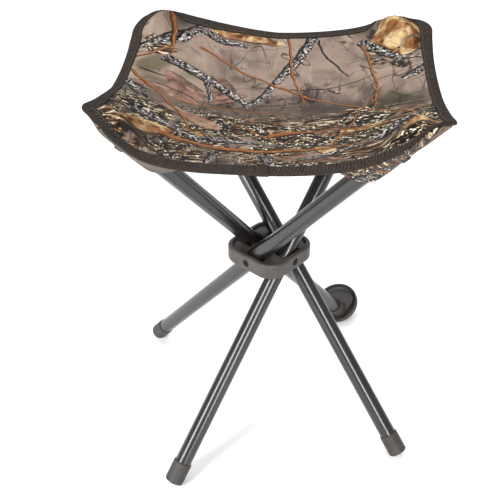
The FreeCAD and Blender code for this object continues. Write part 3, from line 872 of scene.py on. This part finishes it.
def plated_steel(name, dark, light, roughness):
    """Plated steel with a slightly uneven tone."""
    shader = Shader(name)
    place = shader.add("TexCoord", {}, 3)
    tone = shader.noise(place, 500, 4, 0.6)
    colour = shader.mix(tone, rgb(dark), rgb(light))
    finish = shader.math("MULTIPLY_ADD", tone, 0.25, roughness)
    bump = shader.bump(shader.noise(place, 1500, 2), 0.15, 0.0002)
    return shader.finish(Base_Color=colour, Metallic=0.9, Roughness=finish, Normal=bump)


# ---- Camera, floor and light ------------------------------------------------


def camera():
    """The camera stands in front of the stool, above it, and looks down at its hub."""
    data = bpy.data.cameras.new("Camera")
    data.lens = 55.86
    data.sensor_width = 36
    data.clip_start = 0.05
    obj = bpy.data.objects.new("Camera", data)
    right = Vector((0.99935792, -0.03530743, -0.00609309))
    up = Vector((0.02503383, 0.56641448, 0.82374022))
    back = Vector((-0.02563294, -0.82336385, 0.56693468))
    turn = Matrix((right, up, back)).transposed()
    obj.matrix_world = Matrix.Translation((-0.04563, -0.75021, 0.73958)) @ turn.to_4x4()
    bpy.context.scene.collection.objects.link(obj)
    bpy.context.scene.camera = obj


def floor():
    """A plain pale floor that fills the view."""
    size = 6.0
    corners = [(-size, -size, 0), (size, -size, 0), (size, size, 0), (-size, size, 0)]
    shader = Shader("pale_floor")
    grain = shader.noise(shader.add("TexCoord", {}, 3), 14, 2)
    shade = shader.mix(grain, (0.94, 0.94, 0.94, 1), (0.96, 0.96, 0.955, 1))
    material = shader.finish(Base_Color=shade, Roughness=0.85)
    obj = mesh_object("floor", corners, [(0, 1, 2, 3)], [material])


def soft_light(name, place, size, power, target=(0, 0, 0.3)):
    """One rectangular soft box that faces the stool."""
    data = bpy.data.lights.new(name, "AREA")
    data.shape = "RECTANGLE"
    data.size, data.size_y = size
    data.energy = power
    obj = bpy.data.objects.new(name, data)
    obj.location = place
    obj.rotation_euler = (Vector(target) - Vector(place)).to_track_quat("-Z", "Y").to_euler()
    bpy.context.scene.collection.objects.link(obj)


def studio():
    """Soft even light, with two tall strips in front that the tubes reflect."""
    world = bpy.data.worlds.new("Studio")
    world.use_nodes = True
    background = world.node_tree.nodes["Background"]
    background.inputs["Color"].default_value = (1.0, 1.0, 1.0, 1)
    background.inputs["Strength"].default_value = 0.50
    bpy.context.scene.world = world
    bpy.context.scene.view_settings.view_transform = "Standard"
    soft_light("left_strip", (-1.2, -1.1, 0.9), (0.45, 1.4), 32)
    soft_light("right_strip", (0.35, -1.7, 0.9), (0.36, 1.4), 25)
    soft_light("top", (0.1, 1.3, 2.6), (2.8, 2.0), 62)


# ---- Putting it together ----------------------------------------------------


def paint(prefix, material):
    """Gives every CAD node whose name starts so the same finished material."""
    for name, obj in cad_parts.items():
        if name.startswith(prefix):
            obj.data.materials.clear()
            obj.data.materials.append(material)


def build_seat(cloths, reverse, tape, thread):
    """The eight panels of cloth and the binding over each one's edge."""
    for leg in LEG_FACES:
        for side, hand in (("left", 1), ("right", -1)):
            start = panel_start(leg, hand)
            body = f"seat_{side}_{leg}"
            panel = seat_panel(f"panel_{side}_{leg}", start, [cloths[leg], reverse])
            join_at = JOIN_AT if (leg, side) == ("a", "left") else None
            hem = hem_piece(f"binding_{side}_{leg}", start, [tape, thread], join_at)
            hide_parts(f"seat_panel_{side}_{leg}")
            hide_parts(f"hem_tape_{side}_{leg}")
            for piece in (panel, hem):
                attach(piece, body)
                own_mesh(piece)


def build_pockets(cloth, reverse):
    """The four pockets that the tubes' upper ends sit in."""
    for leg, face in LEG_FACES.items():
        pocket = corner_pocket(f"pocket_{leg}", leg, [cloth, reverse])
        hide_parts(f"corner_pocket_{leg}")
        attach(pocket, f"leg_{leg}")
        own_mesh(pocket)


def build():
    camera()
    floor()
    studio()
    paint("tube", tube_paint())
    paint("hub", moulded("hub_plastic", "383431", "46413d", 0.50, 0.35, 0.10))
    rubber = moulded("foot_rubber", "2b2826", "3a3633", 0.58, 0.30, 0.22)
    paint("foot_cap", rubber)
    paint("wide_foot", rubber)
    paint("top_plug", moulded("plug_plastic", "1d1b1a", "2a2725", 0.5, 0.2, 0.0))
    paint("pivot_bolt", plated_steel("bolt_steel", "2a2725", "4a4643", 0.35))
    paint("lock_nut", plated_steel("nut_steel", "6d6b68", "9a9894", 0.35))
    paint("pocket_rivet", moulded("rivet_black", "131211", "24211f", 0.30, 0.1, 0.1))
    cloths = {leg: camo_cloth(leg) for leg in LEG_FACES}
    reverse = cloth_reverse()
    build_seat(cloths, reverse, binding_tape(), sewing_thread())
    build_pockets(cloths["d"], reverse)


build()
